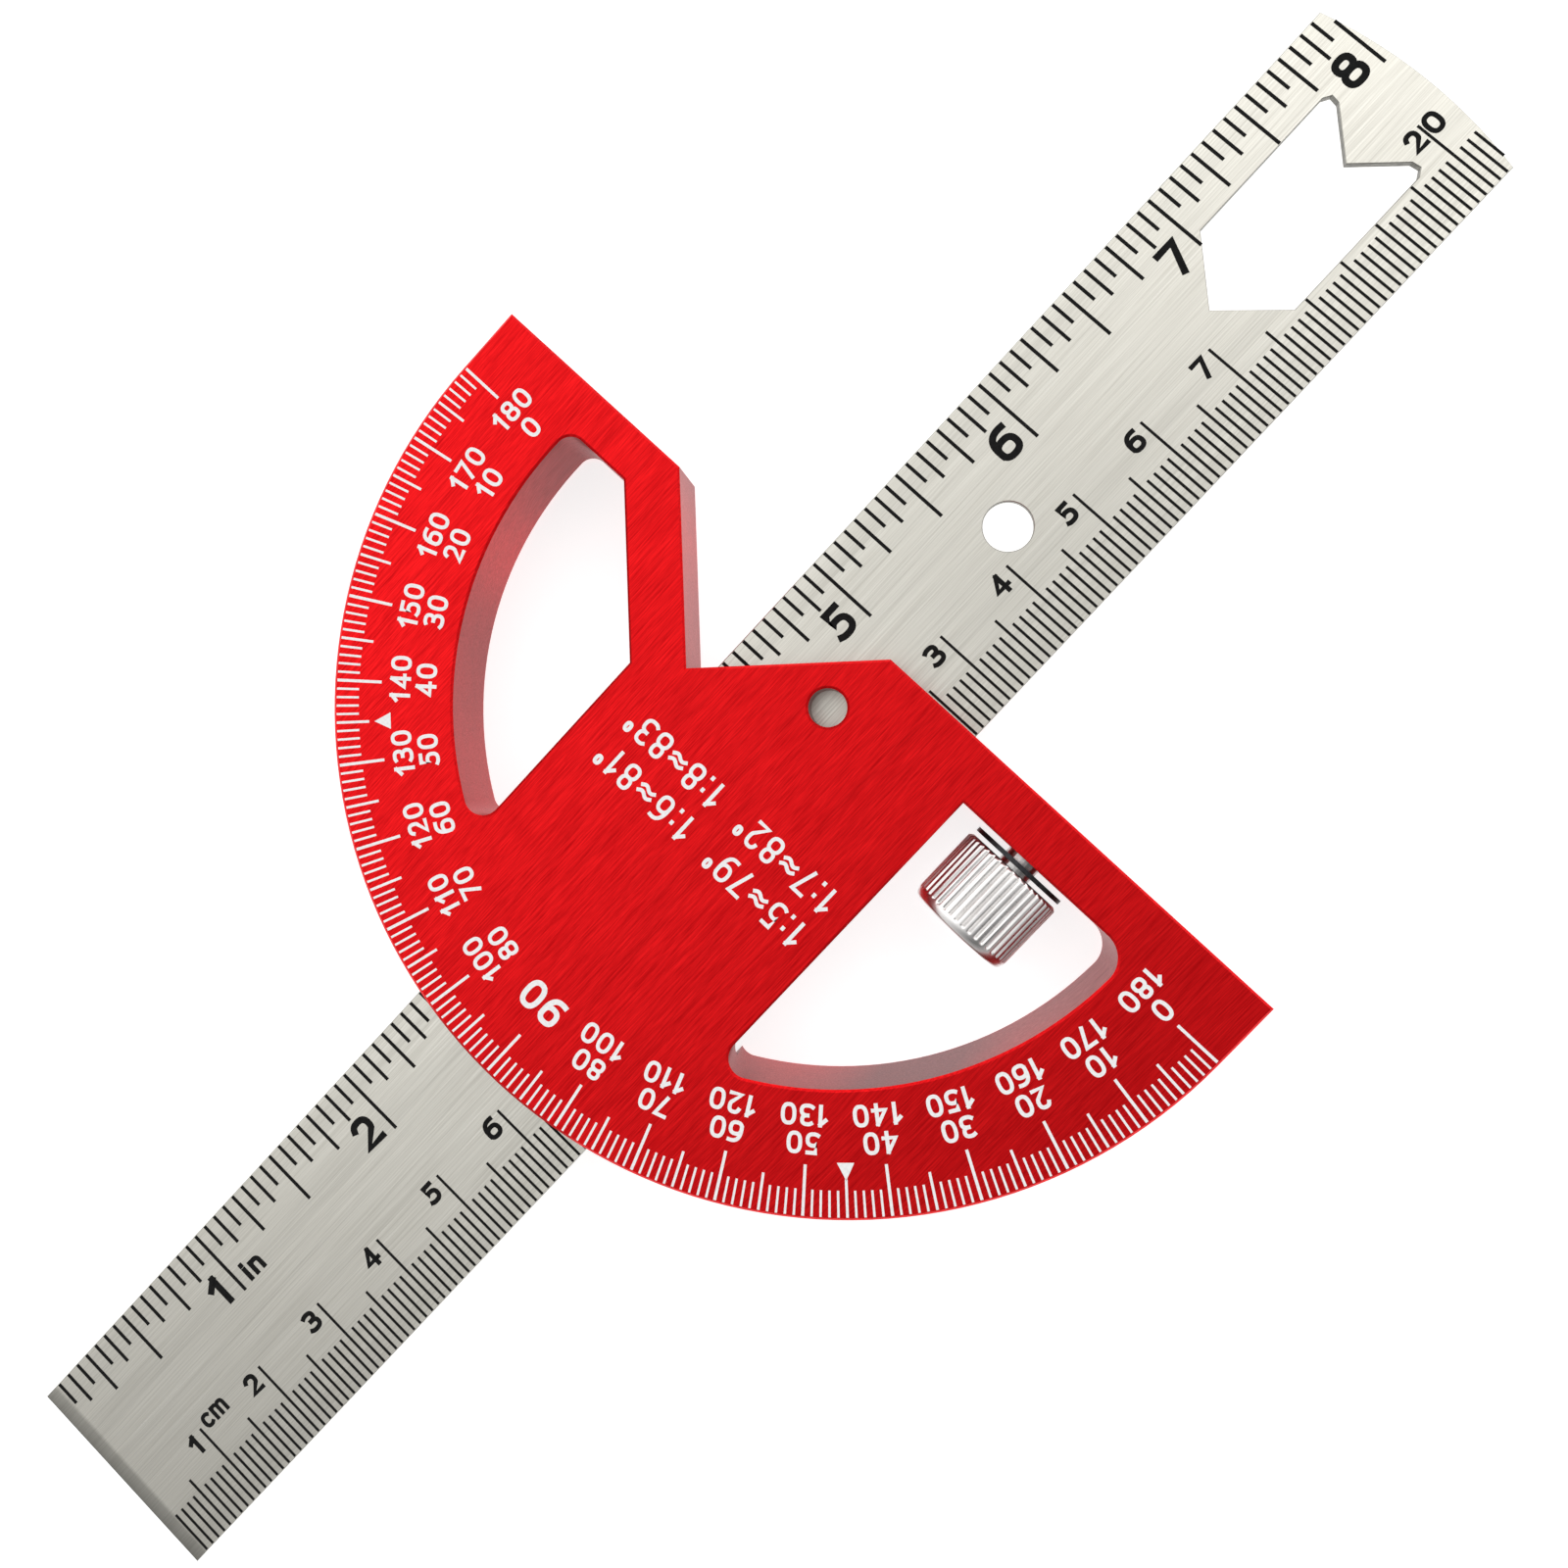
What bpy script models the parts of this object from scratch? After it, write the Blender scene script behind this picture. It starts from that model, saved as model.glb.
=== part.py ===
"""Angle square: a half-round protractor head with a steel rule that slides through it.

The head is milled from one red anodised blank. A back cover, cut from the same blank, closes the
channel that the rule slides in. A knurled thumbscrew in the lower window wedges a pin against the
rule's edge. Metres, +Z up out of the head's front face. X runs along the rule towards its far end,
and +Y is the side of the rule's inch scale. The origin is under the middle of the rule, on the
plane of the head's back face and on the head's centreline.
"""

import math

import bmesh
import bpy
from mathutils import Matrix, Vector

MM = 0.001
GAP = 0.3 * MM  # between pieces that touch on the real tool
ARC_STEP = math.radians(2.0)
SHARP_ANGLE = math.radians(40.0)
BEYOND = 1.0 * MM  # how far a cutter passes the face that it opens

# Rule
RULE_LENGTH = 205.0 * MM
RULE_WIDTH = 25.0 * MM
RULE_THICKNESS = 1.0 * MM
RULE_Y = -1.15 * MM  # the rule runs this far to one side of the head's centreline
RULE_END_RADIUS = 55.0 * MM  # the far end is a shallow arc
RULE_EDGE = 0.08 * MM
RULE_HOLE_RADIUS = 2.65 * MM
RULE_HOLE_FROM_NEAR_END = 144.0 * MM
CUTOUT_START = 179.4 * MM  # from the rule's near end to where the cutout's straight sides start
CUTOUT_LENGTH = 19.7 * MM  # its straight sides, and the distance between its two 90 degree points
CUTOUT_HALF_WIDTH = 6.3 * MM
CUTOUT_POINT = 5.5 * MM
CUTOUT_CORNER = 0.9 * MM

# Head
HEAD_X = 15.0 * MM  # the protractor's centre
HEAD_RADIUS = 52.6 * MM
HEAD_THICKNESS = 12.0 * MM
HEAD_EDGE = 0.25 * MM
STRAIGHT_EDGE = 7.85 * MM  # from the protractor's centre to the straight edge
CENTRE_HOLE = (-0.1 * MM, -0.55 * MM)  # a little off the protractor's centre
CENTRE_HOLE_RADIUS = 2.0 * MM
NOTCH_Y = 13.0 * MM
NOTCH_DEPTH = 14.9 * MM  # a 90 degree notch, so also half its width
WINDOW_RADIUS = 39.4 * MM
UPPER_WINDOW_SIDE = 17.8 * MM  # from the centreline to the window's side along the rule
UPPER_WINDOW_TOP = 2.95 * MM  # from the protractor's centre towards the straight edge
UPPER_WINDOW_DIAGONAL = -10.65 * MM  # where the side along the rule turns parallel to the notch
LOWER_WINDOW_SIDE = 17.15 * MM
LOWER_WINDOW_TOP = 2.15 * MM

# Channel and cover, at the middle of the head's thickness
RULE_BOTTOM = (HEAD_THICKNESS - RULE_THICKNESS) / 2
COVER_TOP = RULE_BOTTOM - GAP
CHANNEL_TOP = RULE_BOTTOM + RULE_THICKNESS + GAP
CHANNEL_LOW = RULE_Y - RULE_WIDTH / 2 - GAP
CHANNEL_HIGH = RULE_Y + RULE_WIDTH / 2 + GAP
COVER_STEP_HIGH = -15.0 * MM  # the cover narrows here, clear of the notch's apex
COVER_STEP_LOW = 0.0 * MM  # and here, clear of the clamp pin's bore
COVER_HIGH_AT_NOTCH = CHANNEL_HIGH + 0.7 * MM

# Cover screws and dowel pins, from the protractor's centre
SCREW_RADIUS = 0.8 * MM
SCREW_HEAD_RADIUS = 1.25 * MM
SCREW_LENGTH = 9.0 * MM
SCREW_SOCKET = 0.65 * MM
SCREW_HIGH_Y = 15.0 * MM
SCREW_LOW_Y = -15.4 * MM
SCREW_PLACES = (
    (-43.0 * MM, SCREW_HIGH_Y),
    (-31.0 * MM, SCREW_HIGH_Y),
    (-19.0 * MM, SCREW_HIGH_Y),
    (-43.0 * MM, SCREW_LOW_Y),
    (-24.0 * MM, SCREW_LOW_Y),
    (-4.5 * MM, SCREW_LOW_Y),
)
DOWEL_RADIUS = 0.7 * MM
DOWEL_LENGTH = 8.0 * MM
DOWEL_PLACES = ((-37.0 * MM, SCREW_HIGH_Y), (-34.0 * MM, SCREW_LOW_Y))

# Leaf springs, in pockets in the cover's top, press the rule up against the head
SPRING_LENGTH = 22.0 * MM
SPRING_WIDTH = 5.0 * MM
SPRING_THICKNESS = 0.3 * MM
SPRING_RISE = 0.8 * MM
SPRING_X = -26.0 * MM
SPRING_OFFSET = 6.5 * MM  # each side of the rule's centreline
SPRING_STEPS = 12

# Thumbscrew. Its axis is parallel to the rule, and it screws into the bar behind the straight edge
SCREW_Y = -25.95 * MM
MIDDLE_Z = HEAD_THICKNESS / 2
KNOB_RADIUS = 5.9 * MM
KNOB_LENGTH = 8.7 * MM
KNOB_FACE = 0.5 * MM  # from the protractor's centre to the face that looks at the straight edge
KNOB_RIDGES = 40
KNURL_DEPTH = 0.05  # share of the radius
STUD_RADIUS = 1.95 * MM
STUD_IN_KNOB = 6.0 * MM
STUD_CONE_START = 2.9 * MM
STUD_TIP = 5.9 * MM
STUD_TIP_RADIUS = 0.2 * MM
STUD_BORE_END = 6.9 * MM
WASHER_RADIUS = 5.6 * MM
WASHER_THICKNESS = 0.5 * MM
WASHER_X = 0.5 * MM

# Clamp pin, in a bore along the bar. The stud's cone wedges it towards the rule's edge
PIN_X = 4.9 * MM
PIN_RADIUS = 1.2 * MM
PIN_END = SCREW_Y + 1.45 * MM
PAD_LENGTH = 0.9 * MM
PLUG_LENGTH = 4.0 * MM

RED = (0.72, 0.012, 0.016, 1.0)
STEEL = (0.62, 0.61, 0.58, 1.0)
NICKEL = (0.78, 0.76, 0.73, 1.0)
DARK_STEEL = (0.10, 0.10, 0.11, 1.0)
BRASS = (0.72, 0.52, 0.22, 1.0)


def clear_scene():
    for obj in list(bpy.data.objects):
        bpy.data.objects.remove(obj, do_unlink=True)


def principled(name, colour, metallic, roughness):
    material = bpy.data.materials.new(name)
    material.use_nodes = True
    shader = material.node_tree.nodes["Principled BSDF"]
    shader.inputs["Base Color"].default_value = colour
    shader.inputs["Metallic"].default_value = metallic
    shader.inputs["Roughness"].default_value = roughness
    material.diffuse_color = colour
    return material


def object_from(name, bm, material, location=(0, 0, 0), parent=None):
    """A smooth-shaded object from a bmesh, with its origin at location."""
    bmesh.ops.recalc_face_normals(bm, faces=bm.faces)
    mesh = bpy.data.meshes.new(name)
    bm.to_mesh(mesh)
    bm.free()
    mesh.shade_smooth()
    mesh.set_sharp_from_angle(angle=SHARP_ANGLE)
    if material:
        mesh.materials.append(material)
    obj = bpy.data.objects.new(name, mesh)
    obj.location = location
    obj.parent = parent
    bpy.context.collection.objects.link(obj)
    return obj


def pivot(name, location):
    """An empty that the parts of one moving body hang from."""
    empty = bpy.data.objects.new(name, None)
    empty.empty_display_size = 5 * MM
    empty.location = location
    bpy.context.collection.objects.link(empty)
    return empty


def cutter(name, bm):
    """A hidden object that a boolean modifier uses."""
    obj = object_from(name, bm, None)
    obj.hide_render = True
    obj.display_type = "WIRE"
    return obj


def boolean(obj, tool, operation="DIFFERENCE"):
    modifier = obj.modifiers.new(tool.name, "BOOLEAN")
    modifier.object = tool
    modifier.operation = operation
    modifier.solver = "EXACT"


def arc(centre, radius, start, end):
    """Points on an arc from angle start to angle end, in radians, both included."""
    steps = max(2, math.ceil(abs(end - start) / ARC_STEP))
    angles = [start + (end - start) * i / steps for i in range(steps + 1)]
    return [(centre[0] + radius * math.cos(a), centre[1] + radius * math.sin(a)) for a in angles]


def circle(centre, radius, steps=48):
    angles = [math.tau * i / steps for i in range(steps)]
    return [(centre[0] + radius * math.cos(a), centre[1] + radius * math.sin(a)) for a in angles]


def signed_area(loop):
    return sum(a[0] * b[1] - b[0] * a[1] for a, b in zip(loop, loop[1:] + loop[:1])) / 2


def offset(loop, distance):
    """The loop moved inwards by distance (outwards where negative), with mitred corners."""
    turn = 1 if signed_area(loop) > 0 else -1
    shifted = []
    for i, point in enumerate(loop):
        before = Vector(point) - Vector(loop[i - 1])
        after = Vector(loop[(i + 1) % len(loop)]) - Vector(point)
        n1 = Vector((-before.y, before.x)).normalized() * turn
        n2 = Vector((-after.y, after.x)).normalized() * turn
        shifted.append(Vector(point) + (n1 + n2) * distance / (1 + n1.dot(n2)))
    return [tuple(p) for p in shifted]


def add_ring(bm, points, z):
    return [bm.verts.new((x, y, z)) for x, y in points]


def add_band(bm, low, high):
    for i in range(len(low)):
        j = (i + 1) % len(low)
        bm.faces.new((low[i], low[j], high[j], high[i]))


def fill(bm, rings):
    """Flat faces between an outline and the holes in it."""
    edges = []
    for ring in rings:
        for i, vert in enumerate(ring):
            edges.append(bm.edges.get((vert, ring[(i + 1) % len(ring)])))
    bmesh.ops.triangle_fill(bm, edges=edges, use_beauty=True)


def plate(outline, holes, bottom, top, edge=0.0):
    """A flat plate with holes, its edges chamfered by edge."""
    bm = bmesh.new()
    levels = [(0.0, bottom), (0.0, top)]
    if edge:
        levels = [(edge, bottom), (0.0, bottom + edge), (0.0, top - edge), (edge, top)]
    first, last = [], []
    for number, loop in enumerate([outline] + list(holes)):
        sign = 1 if number == 0 else -1
        rings = [add_ring(bm, offset(loop, sign * inset), z) for inset, z in levels]
        for low, high in zip(rings, rings[1:]):
            add_band(bm, low, high)
        first.append(rings[0])
        last.append(rings[-1])
    fill(bm, first)
    fill(bm, last)
    return bm


def lathe(profile, steps, closed=False):
    """A turned solid about Z from rings (z, radius, form), where form(angle) scales the radius.

    An open profile starts and ends in a flat or pointed end. A closed one is a ring.
    """
    bm = bmesh.new()
    rings = []
    for z, radius, form in profile:
        angles = [math.tau * i / steps for i in range(steps)]
        points = [(radius * form(a) * math.cos(a), radius * form(a) * math.sin(a)) for a in angles]
        rings.append(add_ring(bm, points, z))
    for low, high in zip(rings, rings[1:]):
        add_band(bm, low, high)
    if closed:
        add_band(bm, rings[-1], rings[0])
    else:
        bm.faces.new(reversed(rings[0]))
        bm.faces.new(rings[-1])
    return bm


def round_form(angle):
    return 1.0


def hex_form(angle):
    """A hexagon whose corners touch the circle."""
    sector = math.pi / 3
    return math.cos(sector / 2) / math.cos((angle % sector) - sector / 2)


def knurl_form(angle):
    return 1.0 - KNURL_DEPTH * (1 - math.cos(KNOB_RIDGES * angle)) / 2


def along_x(bm):
    bmesh.ops.transform(bm, matrix=Matrix.Rotation(math.pi / 2, 4, "Y"), verts=bm.verts)
    return bm


def along_y(bm):
    bmesh.ops.transform(bm, matrix=Matrix.Rotation(-math.pi / 2, 4, "X"), verts=bm.verts)
    return bm


def moved(bm, x, y, z):
    bmesh.ops.translate(bm, vec=(x, y, z), verts=bm.verts)
    return bm


def cylinder(radius, start, end, steps=20):
    return lathe([(start, radius, round_form), (end, radius, round_form)], steps)


def box(low, high):
    corners = [(low[0], low[1]), (high[0], low[1]), (high[0], high[1]), (low[0], high[1])]
    return plate(corners, [], low[2], high[2])


def joined(parts):
    """Several closed bmeshes in one, for a cutter with separate bodies."""
    whole = bmesh.new()
    for bm in parts:
        part = bpy.data.meshes.new("part")
        bm.to_mesh(part)
        bm.free()
        whole.from_mesh(part)
        bpy.data.meshes.remove(part)
    return whole


def head_points(loop):
    """Points given from the protractor's centre, moved to the head's place."""
    return [(x + HEAD_X, y) for x, y in loop]


def head_outline():
    edge = STRAIGHT_EDGE
    return (
        arc((0, 0), HEAD_RADIUS, math.pi / 2, math.pi * 3 / 2)
        + [(edge, -HEAD_RADIUS), (edge, NOTCH_Y - NOTCH_DEPTH)]
        + [(edge - NOTCH_DEPTH, NOTCH_Y), (edge, NOTCH_Y + NOTCH_DEPTH), (edge, HEAD_RADIUS)]
    )


def window(side, top, low_corner, high_corner, corner_points):
    """A window on the +Y side: a side along the rule, an arc with the rim, and a top."""
    reach = WINDOW_RADIUS - low_corner
    low = Vector((-math.sqrt(reach**2 - (side + low_corner) ** 2), side + low_corner))
    reach = WINDOW_RADIUS - high_corner
    high = Vector((top - high_corner, math.sqrt(reach**2 - (top - high_corner) ** 2)))
    low_angle = math.atan2(low.y, low.x)
    high_angle = math.atan2(high.y, high.x)
    return (
        arc(low, low_corner, -math.pi / 2, low_angle - math.tau)[:-1]
        + arc((0, 0), WINDOW_RADIUS, low_angle, high_angle)
        + arc(high, high_corner, high_angle, 0)[1:]
        + corner_points
    )


def upper_window():
    """Its corner towards the notch is cut off, parallel to the notch."""
    end = UPPER_WINDOW_SIDE + UPPER_WINDOW_TOP - UPPER_WINDOW_DIAGONAL
    corner = [(UPPER_WINDOW_TOP, end), (UPPER_WINDOW_DIAGONAL, UPPER_WINDOW_SIDE)]
    return window(UPPER_WINDOW_SIDE, UPPER_WINDOW_TOP, 2.0 * MM, 1.8 * MM, corner)


def lower_window():
    corner = [(LOWER_WINDOW_TOP, LOWER_WINDOW_SIDE)]
    loop = window(LOWER_WINDOW_SIDE, LOWER_WINDOW_TOP, 2.0 * MM, 3.0 * MM, corner)
    return [(x, -y) for x, y in loop]


def head_blank():
    """The milled blank that both the head body and the back cover are cut from."""
    holes = [upper_window(), lower_window(), circle(CENTRE_HOLE, CENTRE_HOLE_RADIUS)]
    holes = [head_points(hole) for hole in holes]
    return plate(head_points(head_outline()), holes, 0.0, HEAD_THICKNESS, HEAD_EDGE)


def cover_outline(grow):
    """The cover's outline, or with grow the recess around it, running past the blank's ends.

    It is as wide as the block between the windows, and narrows beside the notch and the clamp bore.
    """
    near = -HEAD_RADIUS - BEYOND
    far = STRAIGHT_EDGE + BEYOND
    past = BEYOND if grow else 0.0
    rim_high = UPPER_WINDOW_SIDE + grow
    rim_low = -LOWER_WINDOW_SIDE - grow
    window_start = -math.sqrt((WINDOW_RADIUS - GAP) ** 2 - UPPER_WINDOW_SIDE**2)
    low_start = -math.sqrt((WINDOW_RADIUS - GAP) ** 2 - LOWER_WINDOW_SIDE**2)
    notch_side = COVER_HIGH_AT_NOTCH - GAP + grow
    bore_side = CHANNEL_LOW + GAP - grow
    points = [
        (near, rim_low),
        (low_start, rim_low),
        (low_start, rim_low - past),
        (COVER_STEP_LOW + grow, rim_low - past),
        (COVER_STEP_LOW + grow, bore_side),
        (far, bore_side),
        (far, notch_side),
        (COVER_STEP_HIGH + grow, notch_side),
        (COVER_STEP_HIGH + grow, rim_high + past),
        (window_start, rim_high + past),
        (window_start, rim_high),
        (near, rim_high),
    ]
    loop = [p for i, p in enumerate(points) if (Vector(p) - Vector(points[i - 1])).length > 0.01 * MM]
    return head_points(loop)


def countersunk(gap, length):
    """Rings of a countersunk screw, head down at z = 0, or of its hole where gap isn't 0."""
    cone = SCREW_HEAD_RADIUS - SCREW_RADIUS
    return [
        (gap / 4, SCREW_HEAD_RADIUS + gap, round_form),
        (gap / 4 + 0.15 * MM, SCREW_HEAD_RADIUS + gap, round_form),
        (gap / 4 + 0.15 * MM + cone, SCREW_RADIUS + gap, round_form),
        (length, SCREW_RADIUS + gap, round_form),
    ]


def make_head(materials):
    head = object_from("head_body", head_blank(), materials["red"])
    cover = object_from("back_cover", head_blank(), materials["red"])

    recess = plate(cover_outline(GAP), [], -BEYOND, RULE_BOTTOM)
    channel = box(
        (HEAD_X - HEAD_RADIUS - BEYOND, CHANNEL_LOW, -BEYOND),
        (HEAD_X + STRAIGHT_EDGE + BEYOND, CHANNEL_HIGH, CHANNEL_TOP),
    )
    boolean(head, cutter("cut_recess", recess))
    boolean(head, cutter("cut_channel", channel))
    taps = []
    for x, y in SCREW_PLACES:
        tap = cylinder(SCREW_RADIUS + GAP, MM, SCREW_LENGTH + GAP)
        taps.append(moved(tap, HEAD_X + x, y, 0))
    for x, y in DOWEL_PLACES:
        tap = cylinder(DOWEL_RADIUS + GAP, MM, DOWEL_LENGTH + 2 * GAP)
        taps.append(moved(tap, HEAD_X + x, y, 0))
    boolean(head, cutter("cut_head_holes", joined(taps)))

    stud_bore = along_x(cylinder(STUD_RADIUS + 0.25 * MM, 0, STUD_BORE_END, 32))
    boolean(head, cutter("cut_stud_bore", moved(stud_bore, HEAD_X, SCREW_Y, MIDDLE_Z)))
    pin_bore = along_y(cylinder(PIN_RADIUS + GAP, -HEAD_RADIUS - BEYOND, CHANNEL_LOW + BEYOND, 24))
    boolean(head, cutter("cut_pin_bore", moved(pin_bore, HEAD_X + PIN_X, 0, MIDDLE_Z)))

    kept = plate(cover_outline(0), [], -BEYOND, COVER_TOP)
    boolean(cover, cutter("cut_cover_outline", kept), "INTERSECT")
    holes = []
    for x, y in SCREW_PLACES:
        rings = countersunk(GAP, COVER_TOP + BEYOND)
        rings[0] = (-BEYOND, SCREW_HEAD_RADIUS + GAP, round_form)
        holes.append(moved(lathe(rings, 24), HEAD_X + x, y, 0))
    for x, y in DOWEL_PLACES:
        holes.append(moved(cylinder(DOWEL_RADIUS + GAP, GAP, COVER_TOP + BEYOND), HEAD_X + x, y, 0))
    for side in (-1, 1):
        half = (SPRING_LENGTH / 2 + GAP, SPRING_WIDTH / 2 + GAP)
        x, y = HEAD_X + SPRING_X, RULE_Y + side * SPRING_OFFSET
        floor = COVER_TOP - SPRING_RISE - SPRING_THICKNESS - GAP
        holes.append(box((x - half[0], y - half[1], floor), (x + half[0], y + half[1], COVER_TOP + BEYOND)))
    boolean(cover, cutter("cut_cover_holes", joined(holes)))


def make_cover_fasteners(materials):
    socket = SCREW_SOCKET
    rings = [(0.9 * MM, socket, hex_form), (0.1 * MM, socket, hex_form)]
    rings += [(z + 0.1 * MM, radius, form) for z, radius, form in countersunk(0, SCREW_LENGTH - 0.1 * MM)]
    screw = lathe(rings, 24)
    first = object_from("cover_screw_1", screw, materials["dark"])
    for number, (x, y) in enumerate(SCREW_PLACES, 1):
        obj = first
        if number > 1:
            obj = bpy.data.objects.new(f"cover_screw_{number}", first.data)
            bpy.context.collection.objects.link(obj)
        obj.location = (HEAD_X + x, y, 0)
    for number, (x, y) in enumerate(DOWEL_PLACES, 1):
        pin = cylinder(DOWEL_RADIUS, 2 * GAP, DOWEL_LENGTH)
        object_from(f"dowel_pin_{number}", pin, materials["steel"], (HEAD_X + x, y, 0))


def make_leaf_springs(materials):
    """Arched strips that stand on their two ends."""
    for number, side in enumerate((1, -1), 1):
        bm = bmesh.new()
        half = SPRING_WIDTH / 2
        rings = []
        for i in range(SPRING_STEPS + 1):
            x = SPRING_LENGTH * (i / SPRING_STEPS - 0.5)
            z = SPRING_RISE * math.cos(math.pi * x / SPRING_LENGTH)
            corners = [(-half, z), (half, z), (half, z + SPRING_THICKNESS), (-half, z + SPRING_THICKNESS)]
            rings.append([bm.verts.new((x, y, height)) for y, height in corners])
        for low, high in zip(rings, rings[1:]):
            add_band(bm, low, high)
        bm.faces.new(rings[0])
        bm.faces.new(rings[-1])
        z = COVER_TOP - SPRING_RISE - SPRING_THICKNESS
        place = (HEAD_X + SPRING_X, RULE_Y + side * SPRING_OFFSET, z)
        object_from(f"leaf_spring_{number}", bm, materials["spring"], place)


def cutout_outline(near_end):
    """A straight-sided slot with a 90 degree point, and at its far end a notch of the same shape."""
    start = near_end + CUTOUT_START
    end = start + CUTOUT_LENGTH
    half = CUTOUT_HALF_WIDTH
    slope = math.atan2(half, CUTOUT_POINT)
    along = CUTOUT_CORNER / math.tan(slope / 2)
    corner = []
    for angle in (0.0, (math.pi - slope) / 2, math.pi - slope):
        centre = (end - along, half - CUTOUT_CORNER)
        corner.append(
            (centre[0] + CUTOUT_CORNER * math.sin(angle), centre[1] + CUTOUT_CORNER * math.cos(angle))
        )
    upper = [(start - CUTOUT_POINT, 0.0), (start, half)] + corner
    lower = [(x, -y) for x, y in reversed(upper[1:])]
    return upper + [(end - CUTOUT_POINT, 0.0)] + lower


def make_rule(materials):
    carrier = pivot("rule_slide_axis", (0, RULE_Y, RULE_BOTTOM + RULE_THICKNESS / 2))
    half = RULE_WIDTH / 2
    near = -RULE_LENGTH / 2
    swing = math.asin(half / RULE_END_RADIUS)
    far_centre = (RULE_LENGTH / 2 - RULE_END_RADIUS, 0)
    outline = [(near, half), (near, -half)] + arc(far_centre, RULE_END_RADIUS, -swing, swing)
    holes = [circle((near + RULE_HOLE_FROM_NEAR_END, 0), RULE_HOLE_RADIUS), cutout_outline(near)]
    bm = plate(outline, holes, -RULE_THICKNESS / 2, RULE_THICKNESS / 2, RULE_EDGE)
    object_from("rule", bm, materials["steel"], parent=carrier)


def make_thumbscrew(materials):
    carrier = pivot("screw_axis", (HEAD_X + KNOB_FACE, SCREW_Y, MIDDLE_Z))
    outer = -KNOB_LENGTH
    bore = STUD_RADIUS + GAP
    knob_rings = [
        (-STUD_IN_KNOB - GAP, bore, round_form),
        (0.0, bore, round_form),
        (0.0, KNOB_RADIUS - 0.5 * MM, round_form),
        (-0.35 * MM, KNOB_RADIUS, knurl_form),
        (outer + 1.2 * MM, KNOB_RADIUS, knurl_form),
        (outer + 1.0 * MM, KNOB_RADIUS * (1 - KNURL_DEPTH), round_form),
        (outer + 0.2 * MM, KNOB_RADIUS - 0.75 * MM, round_form),
        (outer, KNOB_RADIUS - 1.1 * MM, round_form),
    ]
    knob = along_x(lathe(knob_rings, KNOB_RIDGES * 2))
    object_from("thumb_knob", knob, materials["nickel"], parent=carrier)

    stud_rings = [
        (-STUD_IN_KNOB, STUD_RADIUS, round_form),
        (STUD_CONE_START, STUD_RADIUS, round_form),
        (STUD_TIP, STUD_TIP_RADIUS, round_form),
    ]
    stud = along_x(lathe(stud_rings, 32))
    object_from("clamp_stud", stud, materials["nickel"], parent=carrier)

    inner = STUD_RADIUS + GAP
    washer_rings = [
        (0.0, WASHER_RADIUS, round_form),
        (WASHER_THICKNESS, WASHER_RADIUS, round_form),
        (WASHER_THICKNESS, inner, round_form),
        (0.0, inner, round_form),
    ]
    washer = along_x(lathe(washer_rings, 48, closed=True))
    object_from("washer", moved(washer, WASHER_X, 0, 0), materials["dark"], parent=carrier)


def make_clamp_pin(materials):
    """The pin, its brass pad beside the rule's edge, and the plug that closes the bore."""
    carrier = pivot("clamp_pin_axis", (HEAD_X + PIN_X, 0, MIDDLE_Z))
    pad_face = CHANNEL_LOW - 0.05 * MM
    pin_start = pad_face - PAD_LENGTH - GAP
    bevel = 0.2 * MM
    pad_rings = [
        (pad_face - PAD_LENGTH, PIN_RADIUS - bevel, round_form),
        (pad_face - PAD_LENGTH + bevel, PIN_RADIUS, round_form),
        (pad_face - bevel, PIN_RADIUS, round_form),
        (pad_face, PIN_RADIUS - bevel, round_form),
    ]
    object_from("pressure_pad", along_y(lathe(pad_rings, 20)), materials["brass"], parent=carrier)
    pin_rings = [
        (PIN_END, 0.25 * MM, round_form),
        (PIN_END + 0.6 * MM, PIN_RADIUS, round_form),
        (pin_start - bevel, PIN_RADIUS, round_form),
        (pin_start, PIN_RADIUS - bevel, round_form),
    ]
    object_from("clamp_pin", along_y(lathe(pin_rings, 20)), materials["steel"], parent=carrier)

    face = 0.1 * MM - HEAD_RADIUS
    socket = SCREW_SOCKET
    plug_rings = [
        (face + 1.2 * MM, socket, hex_form),
        (face, socket, hex_form),
        (face, PIN_RADIUS - bevel, round_form),
        (face + bevel, PIN_RADIUS, round_form),
        (face + PLUG_LENGTH, PIN_RADIUS, round_form),
    ]
    place = (HEAD_X + PIN_X, 0, MIDDLE_Z)
    object_from("bore_plug", along_y(lathe(plug_rings, 24)), materials["dark"], place)


def main():
    clear_scene()
    materials = {
        "red": principled("red_anodised_aluminium", RED, 0.9, 0.38),
        "steel": principled("brushed_stainless_steel", STEEL, 1.0, 0.34),
        "nickel": principled("nickel_plate", NICKEL, 1.0, 0.16),
        "dark": principled("black_oxide_steel", DARK_STEEL, 0.9, 0.45),
        "spring": principled("spring_steel", STEEL, 1.0, 0.3),
        "brass": principled("brass", BRASS, 1.0, 0.3),
    }
    make_head(materials)
    make_cover_fasteners(materials)
    make_leaf_springs(materials)
    make_rule(materials)
    make_thumbscrew(materials)
    make_clamp_pin(materials)


main()
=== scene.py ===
"""Looks of the angle square: finishes, graduations, figures, floor, lights and camera.

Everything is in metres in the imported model's frame. X runs along the rule to its rounded end, +Y is
the inch side and +Z is out of the head's front face.
"""

import math

import bmesh
import bpy
from mathutils import Matrix, Vector


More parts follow.
